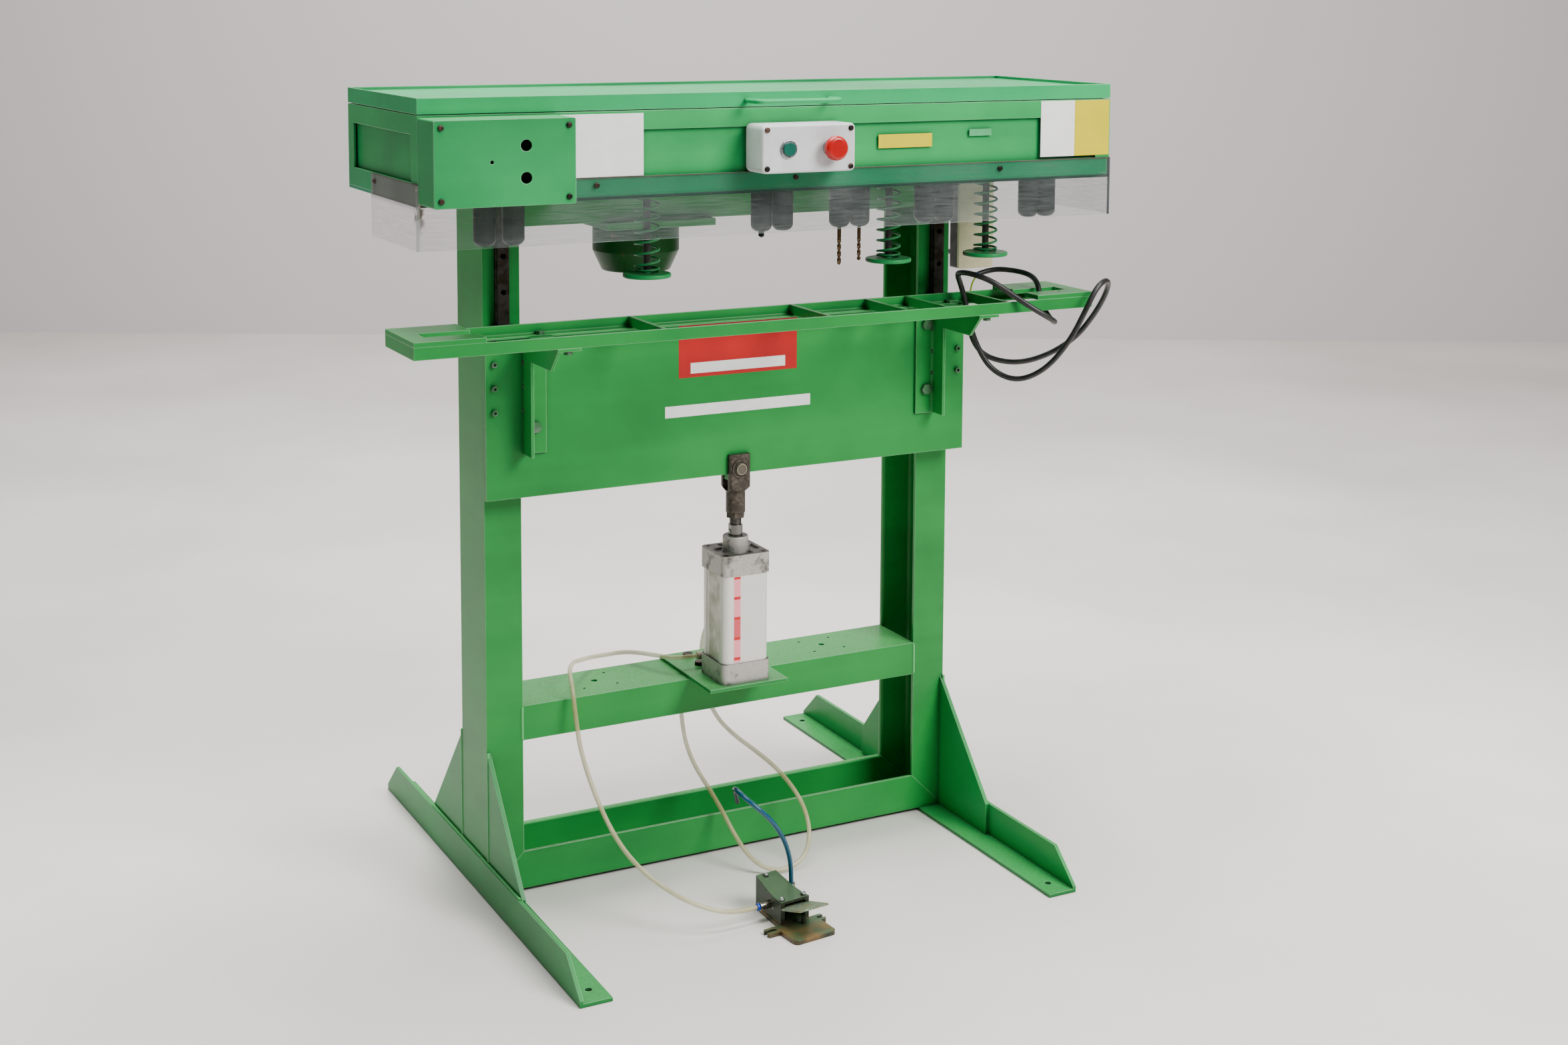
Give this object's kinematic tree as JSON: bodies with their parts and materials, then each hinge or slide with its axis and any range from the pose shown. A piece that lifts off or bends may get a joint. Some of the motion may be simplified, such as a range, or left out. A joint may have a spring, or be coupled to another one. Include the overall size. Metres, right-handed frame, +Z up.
{
  "type": "multi-spindle boring machine",
  "caption": "Pneumatic boring machine: a channel portal with a sliding work table under a green drilling head, air cylinder, foot valve and spring pressure feet.",
  "frame": {"origin": "on the floor, midway between the four ends of the feet", "axes": "+X to the operator's right, +Y to the rear of the machine, +Z up"},
  "size_m": [1.3171, 0.98, 1.372],
  "materials": {
    "belt_rubber": "matte",
    "bezel_metal": "polished",
    "black_plastic": "matte",
    "block_steel": "satin",
    "bolt_steel": "satin",
    "cable_rubber": "matte",
    "cap_aluminium": "cast",
    "chuck_steel": "dark",
    "clear_guard": "clear",
    "cream_plastic": "matte",
    "frame_paint": "satin",
    "green_button": "gloss",
    "grey_plastic": "matte",
    "head_paint": "satin",
    "hose_blue": "gloss",
    "hose_clear": "clear",
    "motor_paint": "satin",
    "nickel": "satin",
    "pedal_metal": "worn",
    "rail_steel": "worn",
    "red_button": "gloss",
    "rod_chrome": "polished",
    "rusty_steel": "worn",
    "shaft_steel": "satin",
    "spring_steel": "painted",
    "tube_aluminium": "satin",
    "unit_aluminium": "cast",
    "valve_cast": "cast"
  },
  "bodies": {
    "frame": {"left_upright": "frame_paint", "right_upright": "frame_paint", "bottom_channel": "frame_paint", "top_channel": "frame_paint", "cylinder_shelf": "frame_paint", "left_foot": "frame_paint", "right_foot": "frame_paint", "guide_rails": "rail_steel", "cylinder_mount_plate": "frame_paint", "cylinder_tube": "tube_aluminium", "cylinder_end_caps": "cap_aluminium", "cylinder_bolts": "bolt_steel", "air_fittings": "nickel", "head_base_plate": "head_paint", "head_frame": "head_paint", "guard": "clear_guard", "cover_screws": "bolt_steel", "relay_box": "head_paint", "control_box": "grey_plastic", "button_bezels": "bezel_metal", "motor_mount_plate": "frame_paint", "motor_body": "motor_paint", "spindle_units": "unit_aluminium", "drive_belt": "belt_rubber", "switch_box": "black_plastic", "switch_box_cover": "cream_plastic", "valve_body": "valve_cast", "cylinder_hose": "hose_clear", "loop_hose": "hose_clear", "supply_hose": "hose_blue", "mains_root": "cable_rubber", "foot_spring_1": "spring_steel", "foot_spring_2": "spring_steel", "foot_spring_3": "spring_steel"},
    "carriage": {"carriage_plate": "frame_paint", "guide_blocks": "block_steel", "carriage_bolts": "bolt_steel", "table_brackets": "frame_paint", "table_frame": "frame_paint", "piston_rod": "rod_chrome", "rod_fork": "rusty_steel", "mains_lead": "cable_rubber"},
    "lid": {"lid": "head_paint"},
    "start_button": {"start_button": "green_button"},
    "stop_button": {"stop_button": "red_button"},
    "motor_shaft": {"motor_shaft": "shaft_steel"},
    "foot_pedal": {"foot_pedal": "pedal_metal"},
    "spindle_1": {"spindle_1": "chuck_steel"},
    "spindle_2": {"spindle_2": "chuck_steel"},
    "spindle_3": {"spindle_3": "chuck_steel"},
    "spindle_4": {"spindle_4": "chuck_steel"},
    "spindle_5": {"spindle_5": "chuck_steel"},
    "spindle_6": {"spindle_6": "chuck_steel"},
    "spindle_7": {"spindle_7": "chuck_steel"},
    "spindle_8": {"spindle_8": "chuck_steel"},
    "spindle_9": {"spindle_9": "chuck_steel"},
    "spindle_10": {"spindle_10": "chuck_steel"},
    "pressure_foot_1": {"pressure_foot_1": "frame_paint"},
    "pressure_foot_2": {"pressure_foot_2": "frame_paint"},
    "pressure_foot_3": {"pressure_foot_3": "frame_paint"}
  },
  "joints": [
    {"name": "carriage_slide", "type": "slide", "parent": "frame", "child": "carriage", "axis": [0, 0, 1], "range_m": [0, 0.07]},
    {"name": "lid_hinge", "type": "hinge", "parent": "frame", "child": "lid", "pos_m": [0, 0.07, 1.34675], "axis": [-1, 0, 0], "range_deg": [0, 95]},
    {"name": "start_press", "type": "slide", "parent": "frame", "child": "start_button", "axis": [0, 1, 0], "range_m": [0, 0.004], "stiffness_N_per_m": 600, "springref_m": -0.003},
    {"name": "stop_press", "type": "slide", "parent": "frame", "child": "stop_button", "axis": [0, 1, 0], "range_m": [0, 0.006], "stiffness_N_per_m": 900, "springref_m": -0.003},
    {"name": "pedal_hinge", "type": "hinge", "parent": "frame", "child": "foot_pedal", "pos_m": [-0.0363, -0.35812, 0.025], "axis": [0.9945, 0.1045, 0], "range_deg": [0, 10], "stiffness_Nm_per_rad": 8, "springref_deg": -11.46},
    {"name": "motor_spin", "type": "hinge", "parent": "frame", "child": "motor_shaft", "pos_m": [-0.148, 0, 1.268], "axis": [0, 0, 1], "continuous": true},
    {"name": "pressure_foot_1_slide", "type": "slide", "parent": "frame", "child": "pressure_foot_1", "axis": [0, 0, 1], "range_m": [0, 0.04], "stiffness_N_per_m": 4200, "springref_m": -0.02, "deforming": ["foot_spring_1"]},
    {"name": "pressure_foot_2_slide", "type": "slide", "parent": "frame", "child": "pressure_foot_2", "axis": [0, 0, 1], "range_m": [0, 0.04], "stiffness_N_per_m": 4200, "springref_m": -0.02, "deforming": ["foot_spring_2"]},
    {"name": "pressure_foot_3_slide", "type": "slide", "parent": "frame", "child": "pressure_foot_3", "axis": [0, 0, 1], "range_m": [0, 0.04], "stiffness_N_per_m": 4200, "springref_m": -0.02, "deforming": ["foot_spring_3"]},
    {"name": "spindle_1_spin", "type": "hinge", "parent": "frame", "child": "spindle_1", "pos_m": [-0.48901, -0.188, 1.13], "axis": [0, 0, 1], "continuous": true},
    {"name": "spindle_2_spin", "type": "hinge", "parent": "frame", "child": "spindle_2", "pos_m": [-0.44101, -0.188, 1.13], "axis": [0, 0, 1], "continuous": true},
    {"name": "spindle_3_spin", "type": "hinge", "parent": "frame", "child": "spindle_3", "pos_m": [-0.00001, -0.188, 1.13], "axis": [0, 0, 1], "continuous": true},
    {"name": "spindle_4_spin", "type": "hinge", "parent": "frame", "child": "spindle_4", "pos_m": [0.03999, -0.188, 1.13], "axis": [0, 0, 1], "continuous": true},
    {"name": "spindle_5_spin", "type": "hinge", "parent": "frame", "child": "spindle_5", "pos_m": [0.15001, -0.188, 1.13], "axis": [0, 0, 1], "continuous": true},
    {"name": "spindle_6_spin", "type": "hinge", "parent": "frame", "child": "spindle_6", "pos_m": [0.18901, -0.188, 1.13], "axis": [0, 0, 1], "continuous": true},
    {"name": "spindle_7_spin", "type": "hinge", "parent": "frame", "child": "spindle_7", "pos_m": [0.32003, -0.188, 1.13], "axis": [0, 0, 1], "continuous": true},
    {"name": "spindle_8_spin", "type": "hinge", "parent": "frame", "child": "spindle_8", "pos_m": [0.36003, -0.188, 1.13], "axis": [0, 0, 1], "continuous": true},
    {"name": "spindle_9_spin", "type": "hinge", "parent": "frame", "child": "spindle_9", "pos_m": [0.53797, -0.188, 1.13], "axis": [0, 0, 1], "continuous": true},
    {"name": "spindle_10_spin", "type": "hinge", "parent": "frame", "child": "spindle_10", "pos_m": [0.57497, -0.188, 1.13], "axis": [0, 0, 1], "continuous": true}
  ],
  "couplings": [
    {"joint": "spindle_1_spin", "follows": "motor_spin", "ratio": 1},
    {"joint": "spindle_2_spin", "follows": "motor_spin", "ratio": -1},
    {"joint": "spindle_3_spin", "follows": "motor_spin", "ratio": 1},
    {"joint": "spindle_4_spin", "follows": "motor_spin", "ratio": -1},
    {"joint": "spindle_5_spin", "follows": "motor_spin", "ratio": 1},
    {"joint": "spindle_6_spin", "follows": "motor_spin", "ratio": -1},
    {"joint": "spindle_7_spin", "follows": "motor_spin", "ratio": 1},
    {"joint": "spindle_8_spin", "follows": "motor_spin", "ratio": -1},
    {"joint": "spindle_9_spin", "follows": "motor_spin", "ratio": 1},
    {"joint": "spindle_10_spin", "follows": "motor_spin", "ratio": -1}
  ]
}
